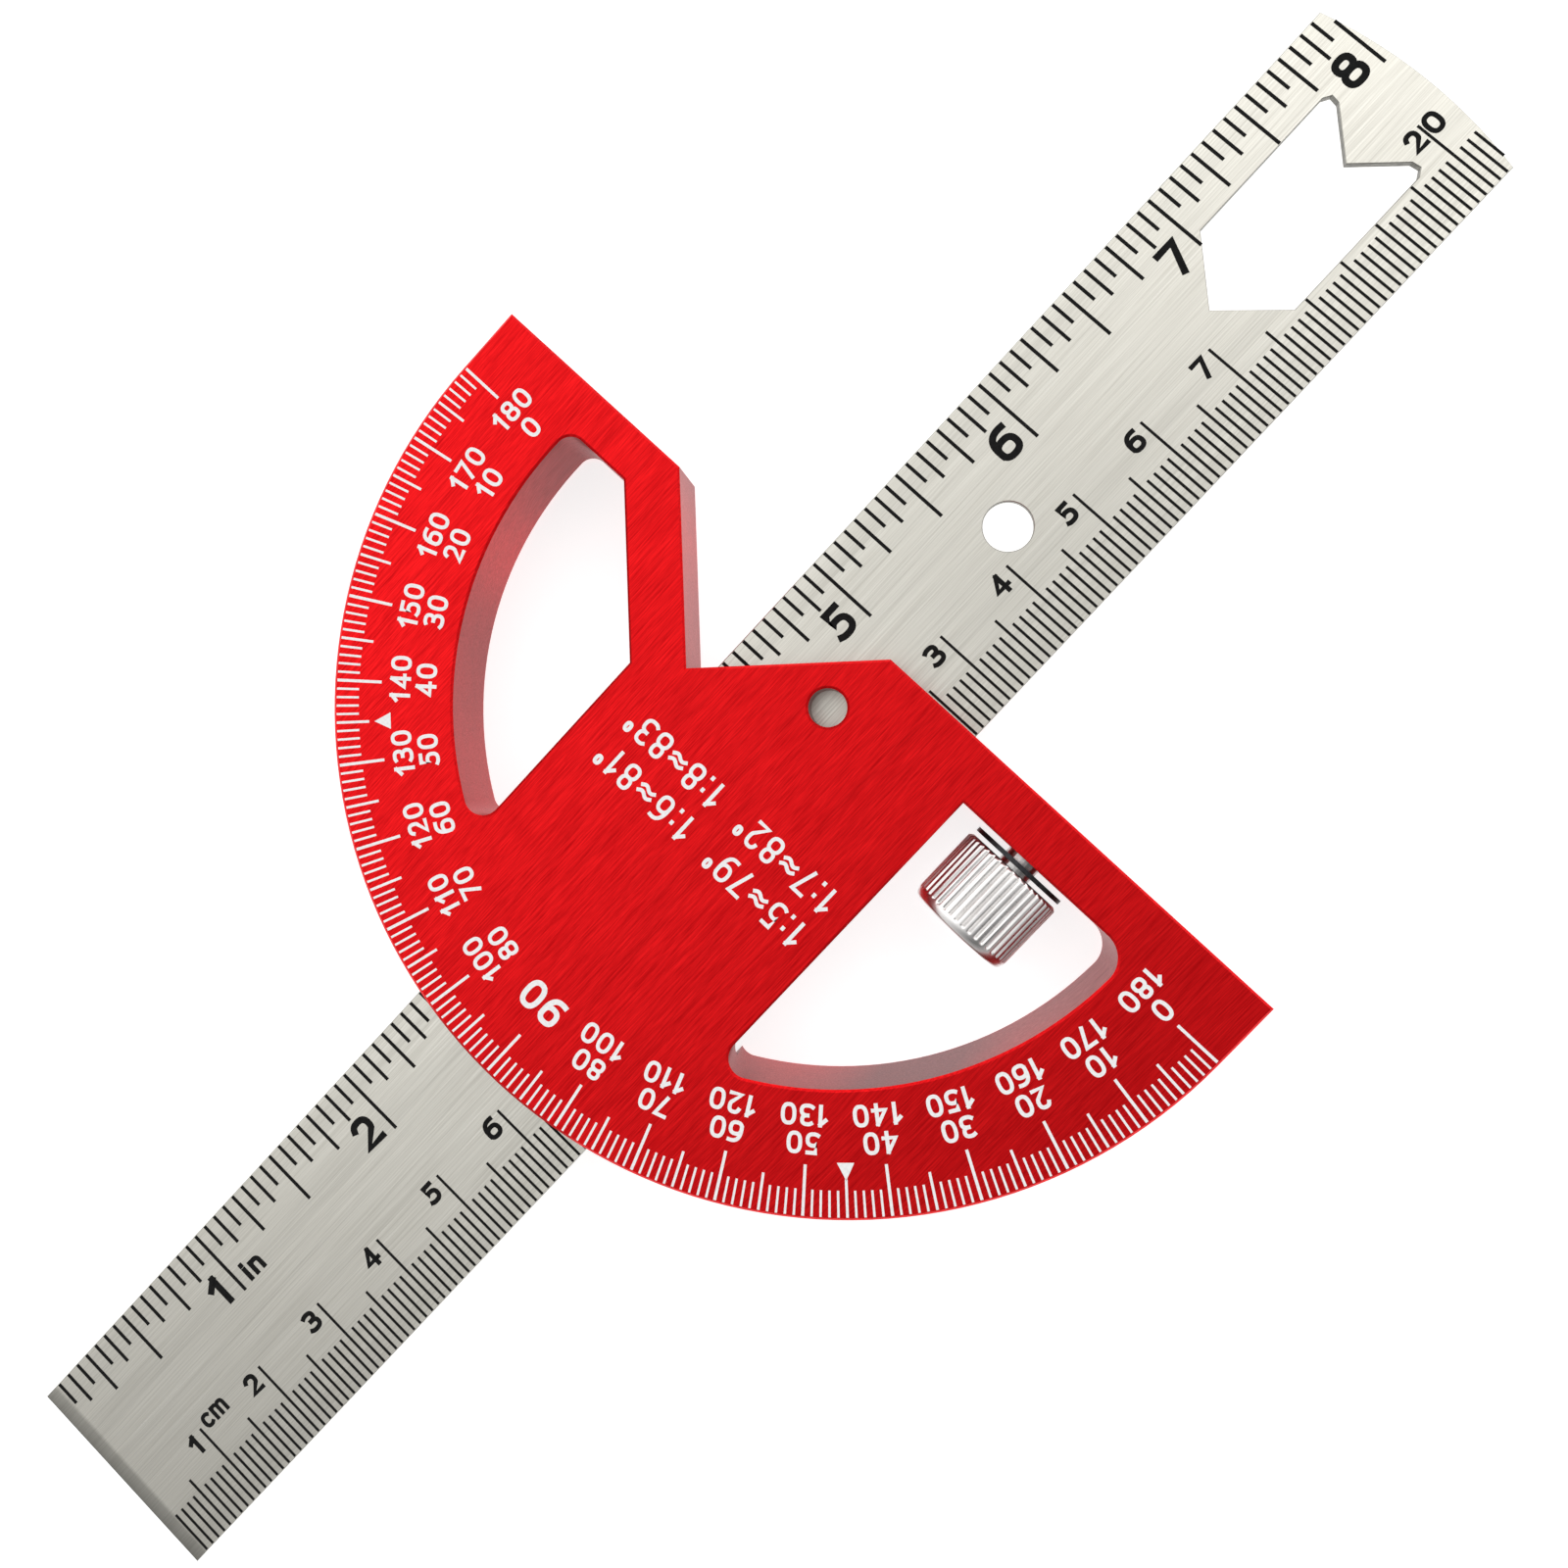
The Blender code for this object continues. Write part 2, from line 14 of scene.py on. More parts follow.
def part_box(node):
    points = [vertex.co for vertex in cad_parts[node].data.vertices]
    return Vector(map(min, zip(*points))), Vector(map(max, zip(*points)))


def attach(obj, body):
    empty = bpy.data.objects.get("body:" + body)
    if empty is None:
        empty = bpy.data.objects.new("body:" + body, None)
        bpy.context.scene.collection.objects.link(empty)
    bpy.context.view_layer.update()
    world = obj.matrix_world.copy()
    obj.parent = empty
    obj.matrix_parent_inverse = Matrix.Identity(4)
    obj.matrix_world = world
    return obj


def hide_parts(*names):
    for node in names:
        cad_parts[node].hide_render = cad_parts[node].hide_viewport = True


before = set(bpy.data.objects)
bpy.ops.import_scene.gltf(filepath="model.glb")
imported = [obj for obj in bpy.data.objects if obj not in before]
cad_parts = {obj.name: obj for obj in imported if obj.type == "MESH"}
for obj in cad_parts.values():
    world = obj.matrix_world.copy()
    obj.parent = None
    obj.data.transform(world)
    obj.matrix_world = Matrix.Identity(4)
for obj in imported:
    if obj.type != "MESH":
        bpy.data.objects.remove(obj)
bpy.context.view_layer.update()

MM = 0.001

# Places read from the frame
RULE_LOW, RULE_HIGH = (Vector(corner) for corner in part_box("rule"))
HEAD_LOW, HEAD_HIGH = (Vector(corner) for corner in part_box("head_body"))
KNOB_LOW, KNOB_HIGH = (Vector(corner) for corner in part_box("thumb_knob"))
STUD_HIGH = Vector(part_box("clamp_stud")[1])
HEAD_RADIUS = (HEAD_HIGH.y - HEAD_LOW.y) / 2
CENTRE_X = HEAD_LOW.x + HEAD_RADIUS  # the protractor's centre, on Y = 0
RULE_MIDDLE = (RULE_LOW.y + RULE_HIGH.y) / 2

# Printed marks stand proud of the metal by this much
INK = 0.02 * MM

# Degree scale on the head. The ticks point at one centre, their inner ends lie on circles about a
# second and the figures on circles about a third, each a little off the protractor's centre
TICK_CENTRE = (0.3 * MM, -0.35 * MM)
TICK_END_CENTRE = (0.2 * MM, 0.15 * MM)
FIGURE_CENTRE = (0.4 * MM, 0.2 * MM)
SCALE_RADIUS = HEAD_RADIUS - 0.35 * MM
DEGREE_TICK = 2.45 * MM
FIVE_TICK = 3.6 * MM
TEN_TICK = 4.95 * MM
HEAD_TICK_WIDTH = 0.24 * MM
FIVE_TICK_WIDENED = 1.15  # the longer ticks are wider by these factors
TEN_TICK_WIDENED = 1.3
OUTER_FIGURES = 45.3 * MM
INNER_FIGURES = 42.45 * MM
NINETY = 43.4 * MM
HEAD_FONT = (2.3 * MM, 0.4 * MM, 1.0)  # a font is its height, stroke and stretch
NINETY_FONT = (3.3 * MM, 0.58 * MM, 1.0)
HALF_RIGHT_ANGLES = (45, 135)  # marked with triangles, and with shorter ticks
TRIANGLE_RADIUS = 47.6 * MM
TRIANGLE_SIZE = 1.8 * MM

# Slopes printed in the middle of the head, from the protractor's centre
SLOPES = (
    ("1:8~83*", -14.72 * MM, 7.45 * MM),
    ("1:6~81*", -19.4 * MM, 7.45 * MM),
    ("1:7~82*", -14.72 * MM, -8.28 * MM),
    ("1:5~79*", -19.4 * MM, -8.28 * MM),
)
SLOPE_FONT = (3.05 * MM, 0.4 * MM, 0.84)
SLOPE_LENGTH = 12.7 * MM

# Rule scales
INCH = 25.4 * MM
INCH_TICKS = {16: 8.35 * MM, 8: 6.65 * MM, 4: 5.3 * MM, 2: 4.05 * MM, 1: 3.0 * MM}
INCH_WIDTH = 0.38 * MM
MM_TICKS = {10: 9.85 * MM, 5: 6.8 * MM, 1: 5.25 * MM}
MM_WIDTH = 0.3 * MM
INCH_ZERO = 0.55 * MM  # the scales start this far from the rule's near end
MM_ZERO = 0.86 * MM
EDGE_INSET = 0.1 * MM  # ticks stay this far from the edges of the metal
PAINTED_SHADE_END = 1.9 * MM  # length of the painted shade band at the near end
PAINTED_END_SHADES = ((0.0, 0.12), (0.1, 0.45), (0.75, 0.62), (1.0, 1.0))  # place and grey of the painted shade along it, darkest at the end
LAST_INCH_START = 1.7 * MM  # the 8 inch tick starts inside the rounded end

# Figures on the rule. Baselines are measured from the scale's own edge
INCH_FONT = (3.8 * MM, 0.76 * MM, 1.16)
INCH_BASELINE = 8.2 * MM
INCH_FIGURE_GAP = 1.3 * MM  # from a figure's right side to its tick
INCH_UNIT_FONT = (2.4 * MM, 0.55 * MM, 1.15)
INCH_UNIT_PLACE = 2.45 * MM  # the unit's middle, beyond the first tick
CM_FONT = (2.4 * MM, 0.52 * MM, 1.16)
CM_BASELINE = 7.72 * MM
CM_FIGURE_GAP = 0.95 * MM
CM_UNIT_FONT = (2.3 * MM, 0.44 * MM, 1.0)
CM_UNIT_PLACE = 2.52 * MM
CM_UNIT_BASELINE = 9.0 * MM

# Knob, drawn finer than the solid one
KNOB_RIDGES = 42
RIDGE_STEPS = 8
RIDGE_DEPTH = 0.26 * MM

# Camera: where it stands, and which way its right side and its back point
CAMERA_PLACE = (16.4212 * MM, -9.3735 * MM, 162.8698 * MM)
CAMERA_RIGHT = (0.675407, -0.723423, -0.143123)
CAMERA_BACK = (0.081672, -0.119506, 0.989469)
CAMERA_LENS = 33.75
CAMERA_SENSOR = 36.0
CAMERA_SHIFT = (0.060606, -0.038621)

# Light from all around: its strength, how it leans overhead, and the broad boxes across X
SKY_STRENGTH = 0.9
SKY_LEAN = (0.97, 1.55, 0.0)
BOX_PITCH = 6.5
BOX_PHASE = 1.95
BOX_CONTRAST = 0.32
SKY_LEAST = 0.1

FLOOR_HALF = 1.5
FLOOR_DROP = 0.03 * MM  # below the head's back face
FLOOR_GLOW = 0.8


# Figures are drawn as strokes, listed with their width as a share of their height. A stroke is a
# list of points in a box one unit wide and one high.
LETTER_SPACING = 0.13  # of the height


def squared(value):
    """A sine or cosine pushed outwards, which turns a circle into one with squared shoulders."""
    return math.copysign(abs(value) ** 0.8, value)


def sweep(cx, cy, rx, ry, start, end, steps=14):
    """Points on an ellipse with squared shoulders, with angles in degrees."""
    points = []
    for i in range(steps):
        angle = math.radians(start + (end - start) * i / steps)
        points.append((cx + rx * squared(math.cos(angle)), cy + ry * squared(math.sin(angle))))
    if (end - start) % 360 == 0:
        return points + points[:1]
    angle = math.radians(end)
    return points + [(cx + rx * squared(math.cos(angle)), cy + ry * squared(math.sin(angle)))]


def wave(height):
    """One wave of the almost-equal sign."""
    points = []
    for i in range(13):
        x = i / 12
        points.append((x, height + 0.07 * math.sin(math.tau * x)))
    return points


STROKES = {
    "0": (0.62, [sweep(0.5, 0.5, 0.5, 0.5, 90, 450, 28)]),
    "1": (0.42, [[(0.72, 0.0), (0.72, 1.0)], [(0.0, 0.72), (0.72, 0.97)]]),
    "2": (0.58, [sweep(0.46, 0.7, 0.46, 0.3, 160, -35) + [(0.0, 0.0), (1.0, 0.0)]]),
    "3": (
        0.57,
        [
            sweep(0.4, 0.765, 0.5, 0.235, 135, -90),
            sweep(0.4, 0.265, 0.58, 0.265, 90, -140),
        ],
    ),
    "4": (0.64, [[(1.0, 0.27), (0.0, 0.27), (0.7, 1.0)], [(0.72, 0.0), (0.72, 1.0)]]),
    "5": (
        0.55,
        [[(0.92, 1.0), (0.14, 1.0), (0.1, 0.56)] + sweep(0.36, 0.31, 0.6, 0.31, 108, -130)],
    ),
    "6": (
        0.6,
        [
            sweep(0.5, 0.31, 0.5, 0.31, 90, 450, 24),
            sweep(0.75, 0.38, 0.75, 0.62, 78, 190),
        ],
    ),
    "7": (0.57, [[(0.0, 1.0), (1.0, 1.0), (0.34, 0.0)]]),
    "8": (
        0.6,
        [
            sweep(0.5, 0.765, 0.43, 0.235, 90, 450, 22),
            sweep(0.5, 0.265, 0.5, 0.265, 90, 450, 24),
        ],
    ),
    "9": (
        0.6,
        [
            sweep(0.5, 0.69, 0.5, 0.31, 90, 450, 24),
            sweep(0.25, 0.62, 0.75, 0.62, -102, 10),
        ],
    ),
    "i": (0.2, [[(0.5, 0.0), (0.5, 0.66)], [(0.5, 0.98), (0.5, 1.0)]]),
    "n": (0.52, [[(0.0, 0.0), (0.0, 0.7)], sweep(0.5, 0.4, 0.5, 0.3, 180, 0) + [(1.0, 0.0)]]),
    "c": (0.48, [sweep(0.6, 0.35, 0.6, 0.35, 50, 310)]),
    "m": (
        0.82,
        [
            [(0.0, 0.0), (0.0, 0.7)],
            sweep(0.25, 0.45, 0.25, 0.25, 180, 0) + [(0.5, 0.0)],
            sweep(0.75, 0.45, 0.25, 0.25, 180, 0) + [(1.0, 0.0)],
        ],
    ),
    ":": (0.16, [[(0.5, 0.02), (0.5, 0.05)], [(0.5, 0.63), (0.5, 0.66)]]),
    "~": (0.72, [wave(0.33), wave(0.6)]),
    "*": (0.3, [sweep(0.5, 0.84, 0.5, 0.16, 90, 450, 16)]),
}


def side_points(path, half):
    """The two edges of a stroke along path, mitred at its corners and square past its ends."""
    path = [Vector(point) for point in path]
    closed = (path[0] - path[-1]).length < 1e-9
    if closed:
        path = path[:-1]
    else:
        first = (path[0] - path[1]).normalized() * half
        last = (path[-1] - path[-2]).normalized() * half
        path = [path[0] + first] + path[1:-1] + [path[-1] + last]
    count = len(path)
    left = []
    right = []
    for i in range(count):
        here = Vector(path[i])
        before = Vector(path[i - 1]) if i or closed else None
        after = Vector(path[(i + 1) % count]) if closed or i < count - 1 else None
        ways = []
        if before is not None:
            ways.append((here - before).normalized())
        if after is not None:
            ways.append((after - here).normalized())
        normals = [Vector((-way.y, way.x)) for way in ways]
        mean = sum(normals, Vector((0.0, 0.0))).normalized()
        reach = half / max(0.62, mean.dot(normals[0]))
        left.append(here + mean * reach)
        right.append(here - mean * reach)
    return left, right, closed


def add_stroke(bm, path, width, low, high, place):
    """A thin raised band along path. place(x, y) gives the point on the metal, z is low to high."""
    left, right, closed = side_points(path, width / 2)
    rings = []
    for a, b in zip(left, right):
        ring = []
        for point, z in ((a, low), (b, low), (b, high), (a, high)):
            x, y = place(point.x, point.y)
            ring.append(bm.verts.new((x, y, z)))
        rings.append(ring)
    pairs = list(zip(rings, rings[1:]))
    if closed:
        pairs.append((rings[-1], rings[0]))
    else:
        bm.faces.new(rings[0])
        bm.faces.new(reversed(rings[-1]))
    for first, second in pairs:
        for i in range(4):
            j = (i + 1) % 4
            bm.faces.new((first[j], first[i], second[i], second[j]))


def letter_width(letter, font):
    height, weight, stretch = font
    return STROKES[letter][0] * height * stretch + weight * 0.4


def text_width(text, font, spacing):
    return sum(letter_width(letter, font) + spacing for letter in text) - spacing


def fitted_spacing(text, font, length):
    """The spacing that makes text this long."""
    return (length - text_width(text, font, 0.0)) / (len(text) - 1)


def add_text(bm, text, centre, turn, font, z, spacing=None):
    """A line of text centred on centre, turned from +X. font is height, stroke and stretch."""
    height, weight, _ = font
    spacing = height * LETTER_SPACING if spacing is None else spacing
    cos = math.cos(turn)
    sin = math.sin(turn)
    cursor = -text_width(text, font, spacing) / 2
    for letter in text:
        width = letter_width(letter, font)
        start = cursor

        def place(x, y):
            x += start
            y -= height / 2
            return centre[0] + x * cos - y * sin, centre[1] + x * sin + y * cos

        for number, stroke in enumerate(STROKES[letter][1]):
            path = []
            for x, y in stroke:
                across = weight / 2 + x * (width - weight) if width > weight else width / 2
                path.append((across, weight / 2 + y * (height - weight)))
            add_stroke(bm, path, weight, z, z + INK + number * 0.002 * MM, place)
        cursor += width + spacing


def add_line(bm, start, end, width, z):
    """A tick from start to end. Its ends are drawn in by what a stroke's square ends add."""
    start, end = Vector(start), Vector(end)
    inset = (end - start).normalized() * width / 2

    def place(x, y):
        return x, y

    add_stroke(bm, [start + inset, end - inset], width, z, z + INK, place)


def piece(name, bm, material, body, smooth=False):
    mesh = bpy.data.meshes.new(name)
    bmesh.ops.recalc_face_normals(bm, faces=bm.faces)
    bm.to_mesh(mesh)
    bm.free()
    if smooth:
        mesh.shade_smooth()
    mesh.materials.append(material)
    obj = bpy.data.objects.new(name, mesh)
    bpy.context.scene.collection.objects.link(obj)
    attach(obj, body)
    return obj


# Materials


class Nodes:
    """A node material, built one node at a time."""

    def __init__(self, name):
        self.material = bpy.data.materials.new(name)
        self.material.use_nodes = True
        self.tree = self.material.node_tree
        self.tree.nodes.clear()
        self.shader = self.add("ShaderNodeBsdfPrincipled")
        output = self.add("ShaderNodeOutputMaterial")
        self.link(self.shader, "BSDF", output, "Surface")
        self.place = self.add("ShaderNodeTexCoord")

    def add(self, kind, **settings):
        node = self.tree.nodes.new(kind)
        for key, value in settings.items():
            setattr(node, key, value)
        return node

    def link(self, source, output, target, socket):
        self.tree.links.new(source.outputs[output], target.inputs[socket])

    def scaled(self, scale, turn=(0.0, 0.0, 0.0), move=(0.0, 0.0, 0.0)):
        mapping = self.add("ShaderNodeMapping")
        mapping.inputs["Scale"].default_value = scale
        mapping.inputs["Rotation"].default_value = turn
        mapping.inputs["Location"].default_value = move
        self.link(self.place, "Object", mapping, "Vector")
        return mapping

    def noise(self, vector, scale=1.0, detail=3.0, roughness=0.5):
        noise = self.add("ShaderNodeTexNoise")
        noise.inputs["Scale"].default_value = scale
        noise.inputs["Detail"].default_value = detail
        noise.inputs["Roughness"].default_value = roughness
        self.link(vector, "Vector", noise, "Vector")
        return noise

    def ramp(self, source, output, stops):
        ramp = self.add("ShaderNodeValToRGB")
        elements = ramp.color_ramp.elements
        while len(elements) < len(stops):
            elements.new(0.5)
        for element, (position, colour) in zip(elements, stops):
            element.position = position
            element.color = (*colour, 1.0)
        self.link(source, output, ramp, "Fac")
        return ramp

    def range(self, source, output, low, high, start=0.0, end=1.0):
        node = self.add("ShaderNodeMapRange")
        node.inputs["From Min"].default_value = start
        node.inputs["From Max"].default_value = end
        node.inputs["To Min"].default_value = low
        node.inputs["To Max"].default_value = high
        self.link(source, output, node, "Value")
        return node

    def mix(self, kind, first, second, amount):
        """Two colour nodes mixed. amount is a number or a node whose output Result is used."""
        node = self.add("ShaderNodeMix", data_type="RGBA", blend_type=kind)
        if isinstance(amount, float):
            node.inputs["Factor"].default_value = amount
        else:
            self.link(amount, "Result", node, "Factor")
        for source, socket in ((first, "A"), (second, "B")):
            target = [i for i in node.inputs if i.name == socket and i.type == "RGBA"][0]
            if isinstance(source, tuple):
                target.default_value = (*source, 1.0)
            else:
                found = [o for o in source.outputs if o.type == "RGBA"][0]
                self.tree.links.new(found, target)
        return node

    def colour(self, source):
        found = [o for o in source.outputs if o.type == "RGBA"][0]
        self.tree.links.new(found, self.shader.inputs["Base Color"])

    def bump(self, source, output, strength, distance, before=None):
        bump = self.add("ShaderNodeBump")
        bump.inputs["Strength"].default_value = strength
        bump.inputs["Distance"].default_value = distance
        self.link(source, output, bump, "Height")
        if before:
            self.link(before, "Normal", bump, "Normal")
        self.link(bump, "Normal", self.shader, "Normal")
        return bump


def brushed(name, colours, metallic, roughness, along, across, strength, turn=0.0, bend=0.0):
    """Metal brushed along X: noise drawn out into lines. bend lets the lines wander."""
    nodes = Nodes(name)
    nodes.shader.inputs["Metallic"].default_value = metallic
    vector = nodes.scaled((along, across, across), (0.0, 0.0, turn))
    if bend:
        slow = nodes.noise(nodes.scaled((40.0, 40.0, 40.0)), 1.0, 1.0)
        shift = nodes.add("ShaderNodeVectorMath", operation="SCALE")
        shift.inputs["Scale"].default_value = bend
        nodes.link(slow, "Color", shift, "Vector")
        total = nodes.add("ShaderNodeVectorMath", operation="ADD")
        nodes.link(vector, "Vector", total, 0)
        nodes.link(shift, "Vector", total, 1)
        vector = total
    lines = nodes.noise(vector, 1.0, 6.0, 0.7)
    fine = nodes.ramp(lines, "Fac", [(0.34, colours[0]), (0.66, colours[1])])
    broad = nodes.noise(nodes.scaled((along / 12, across / 10, across / 10)), 1.0, 4.0, 0.6)
    streaks = nodes.ramp(broad, "Fac", [(0.3, (0.8, 0.8, 0.8)), (0.55, (1.0, 1.0, 1.0))])
    rough = nodes.range(lines, "Fac", roughness + 0.07, roughness - 0.07, 0.3, 0.7)
    nodes.link(rough, "Result", nodes.shader, "Roughness")
    nodes.bump(lines, "Fac", strength, 0.004 * MM)
    return nodes, nodes.mix("MULTIPLY", fine, streaks, 0.5)


def by_facing(nodes, surface, painted_wall_shade, start, end):
    """surface on the flat faces, multiplied by a painted wall shade where the metal turns down the
    sides, so the sides are drawn darker.
    """
    split = nodes.add("ShaderNodeSeparateXYZ")
    nodes.link(nodes.place, "Normal", split, "Vector")
    upright = nodes.add("ShaderNodeMath", operation="ABSOLUTE")
    nodes.link(split, "Z", upright, 0)
    face = nodes.range(upright, "Value", 0.0, 1.0, start, end)
    return nodes.mix("MULTIPLY", surface, nodes.mix("MIX", painted_wall_shade, (1.0, 1.0, 1.0), face), 1.0)


def brushed_red():
    nodes, surface = brushed(
        "red_anodised_aluminium",
        ((0.56, 0.0035, 0.006), (0.97, 0.0125, 0.0155)),
        0.92,
        0.36,
        260.0,
        7000.0,
        0.35,
        turn=math.radians(-4),
        bend=1.6,
    )
    nodes.shader.inputs["Specular IOR Level"].default_value = 0.25
    # painted shade: the side walls are drawn darker and less even than the brushed faces
    uneven = nodes.noise(nodes.scaled((38.0, 38.0, 12.0)), 1.0, 1.0)
    painted_wall_shade = nodes.ramp(uneven, "Fac", [(0.36, (0.22, 0.22, 0.22)), (0.64, (0.75, 0.75, 0.75))])
    nodes.colour(by_facing(nodes, surface, painted_wall_shade, 0.3, 0.6))
    return nodes.material


def brushed_steel():
    """Brushed along the rule, with a painted shade in a narrow band at its near end, darkest at the
    end.
    """
    nodes, surface = brushed(
        "brushed_stainless_steel",
        ((0.62, 0.60, 0.535), (0.84, 0.82, 0.745)),
        1.0,
        0.33,
        60.0,
        6000.0,
        0.3,
    )
    # painted shade: a band at the near end, darkest at the end
    near = (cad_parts["rule"].matrix_world.inverted() @ RULE_LOW).x
    split = nodes.add("ShaderNodeSeparateXYZ")
    nodes.link(nodes.place, "Object", split, "Vector")
    band = nodes.range(split, "X", 0.0, 1.0, near, near + PAINTED_SHADE_END)
    stops = [(position, (grey, grey, grey)) for position, grey in PAINTED_END_SHADES]
    shade = nodes.ramp(band, "Result", stops)
    surface = nodes.mix("MULTIPLY", surface, shade, 1.0)
    # painted shade: the cut edges and the thin chamfer round the rule are drawn darker by their
    # facing
    grain = nodes.noise(nodes.scaled((900.0, 900.0, 900.0)), 1.0, 3.0)
    painted_edge_shade = nodes.ramp(grain, "Fac", [(0.3, (0.14, 0.14, 0.14)), (0.7, (0.3, 0.3, 0.3))])
    nodes.colour(by_facing(nodes, surface, painted_edge_shade, 0.6, 0.85))
    return nodes.material


def nickel():
    nodes = Nodes("nickel_plate")
    nodes.shader.inputs["Metallic"].default_value = 1.0
    clouds = nodes.noise(nodes.scaled((500.0, 500.0, 500.0)), 1.0, 3.0)
    turned = nodes.noise(nodes.scaled((9000.0, 700.0, 700.0)), 1.0, 3.0)
    nodes.colour(
        nodes.ramp(clouds, "Fac", [(0.3, (0.82, 0.80, 0.785)), (0.7, (0.93, 0.915, 0.90))])
    )
    rough = nodes.range(turned, "Fac", 0.26, 0.36, 0.3, 0.7)
    nodes.link(rough, "Result", nodes.shader, "Roughness")
    nodes.bump(turned, "Fac", 0.12, 0.003 * MM)
    return nodes.material


def dark_steel():
    nodes = Nodes("black_oxide_steel")
    nodes.shader.inputs["Metallic"].default_value = 0.6
    grain = nodes.noise(nodes.scaled((2500.0, 2500.0, 2500.0)), 1.0, 4.0)
    nodes.colour(
        nodes.ramp(grain, "Fac", [(0.3, (0.012, 0.012, 0.014)), (0.75, (0.045, 0.045, 0.05))])
    )
    rough = nodes.range(grain, "Fac", 0.32, 0.5, 0.3, 0.7)
    nodes.link(rough, "Result", nodes.shader, "Roughness")
    nodes.bump(grain, "Fac", 0.2, 0.005 * MM)
    return nodes.material


def turned_metal(name, dark, bright, roughness):
    nodes = Nodes(name)
    nodes.shader.inputs["Metallic"].default_value = 1.0
    rings = nodes.noise(nodes.scaled((900.0, 900.0, 7000.0)), 1.0, 3.0)
    nodes.colour(nodes.ramp(rings, "Fac", [(0.3, dark), (0.7, bright)]))
    rough = nodes.range(rings, "Fac", roughness - 0.05, roughness + 0.08, 0.3, 0.7)
    nodes.link(rough, "Result", nodes.shader, "Roughness")
    nodes.bump(rings, "Fac", 0.2, 0.004 * MM)
    return nodes.material


def ink(name, dark, bright, roughness, level):
    """Printed ink: matt, slightly uneven where it is thin."""
    nodes = Nodes(name)
    thin = nodes.noise(nodes.scaled((3000.0, 3000.0, 3000.0)), 1.0, 3.0)
    nodes.colour(nodes.ramp(thin, "Fac", [(0.25, dark), (0.6, bright)]))
    nodes.shader.inputs["Specular IOR Level"].default_value = level
    rough = nodes.range(thin, "Fac", roughness - 0.08, roughness + 0.08, 0.3, 0.7)
    nodes.link(rough, "Result", nodes.shader, "Roughness")
    nodes.bump(thin, "Fac", 0.15, 0.004 * MM)
    return nodes.material


# Marks on the head


def polar(radius, angle, centre=TICK_CENTRE):
    x = CENTRE_X + centre[0] + radius * math.cos(angle)
    y = centre[1] + radius * math.sin(angle)
    return x, y


def tick_point(angle, radius, centre=(0.0, 0.0)):
    """Where a tick's line at this angle meets a circle, its centre given from the protractor's."""
    reach = radius
    for _ in range(4):
        x, y = polar(reach, angle)
        reach += radius - math.hypot(x - CENTRE_X - centre[0], y - centre[1])
    return polar(reach, angle)


def make_head_marks(white):
    top = HEAD_HIGH.z
    ticks = bmesh.new()
    figures = bmesh.new()
    for degree in range(181):
        angle = math.radians(90 + degree)
        length = DEGREE_TICK
        width = HEAD_TICK_WIDTH
        if degree % 10 == 0:
            length = TEN_TICK
            width *= TEN_TICK_WIDENED
        elif degree % 5 == 0:
            length = FIVE_TICK
            width *= FIVE_TICK_WIDENED
        if degree in HALF_RIGHT_ANGLES:
            length = FIVE_TICK
        outer = tick_point(angle, SCALE_RADIUS)
        inner = tick_point(angle, SCALE_RADIUS - length, TICK_END_CENTRE)
        add_line(ticks, inner, outer, width, top)
        if degree % 10:
            continue
        turn = angle - math.pi / 2
        if degree == 90:
            centre = polar(NINETY, angle, FIGURE_CENTRE)
            add_text(figures, "90", centre, turn, NINETY_FONT, top)
            continue
        for radius, value in ((OUTER_FIGURES, 180 - degree), (INNER_FIGURES, degree)):
            centre = polar(radius, angle, FIGURE_CENTRE)
            add_text(figures, str(value), centre, turn, HEAD_FONT, top)
    piece("degree_ticks", ticks, white, "head")
    piece("degree_figures", figures, white, "head")

    arrows = bmesh.new()
    for degree in HALF_RIGHT_ANGLES:
        angle = math.radians(90 + degree)
        half = TRIANGLE_SIZE / 2
        spread = half / TRIANGLE_RADIUS
        corners = [
            polar(TRIANGLE_RADIUS + half, angle),
            polar(TRIANGLE_RADIUS - half, angle - spread),
            polar(TRIANGLE_RADIUS - half, angle + spread),
        ]
        low = [arrows.verts.new((x, y, top)) for x, y in corners]
        high = [arrows.verts.new((x, y, top + INK)) for x, y in corners]
        arrows.faces.new(low)
        arrows.faces.new(high)
        for i in range(3):
            j = (i + 1) % 3
            arrows.faces.new((low[i], low[j], high[j], high[i]))
    piece("half_right_angle_arrows", arrows, white, "head")

    slopes = bmesh.new()
    for text, x, y in SLOPES:
        place = (CENTRE_X + x, y)
        spacing = fitted_spacing(text, SLOPE_FONT, SLOPE_LENGTH)
        add_text(slopes, text, place, math.pi / 2, SLOPE_FONT, top, spacing)
    piece("slope_figures", slopes, white, "head")


# Marks on the rule


def rule_outlines():
    """The rule's outline and its openings at the top, as pairs of points read from its mesh."""
    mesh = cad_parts["rule"].data
    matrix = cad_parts["rule"].matrix_world
    top = RULE_HIGH.z - 0.02 * MM
    edges = []
    for face in mesh.polygons:
        normal = matrix.to_3x3() @ face.normal
        if abs(normal.z) > 0.5:
            continue
        points = [matrix @ mesh.vertices[i].co for i in face.vertices]
        level = [p for p in points if p.z > top - 0.1 * MM]
        if len(level) >= 2:
            edges.append((level[0], level[1]))
    return edges


def crossings(edges, x):
    """The y values where the line at this x crosses the rule's outlines."""
    found = []
    for a, b in edges:
        low, high = sorted((a.x, b.x))
        if low <= x < high:
            found.append(a.y + (b.y - a.y) * (x - a.x) / (b.x - a.x))
    return sorted(found)


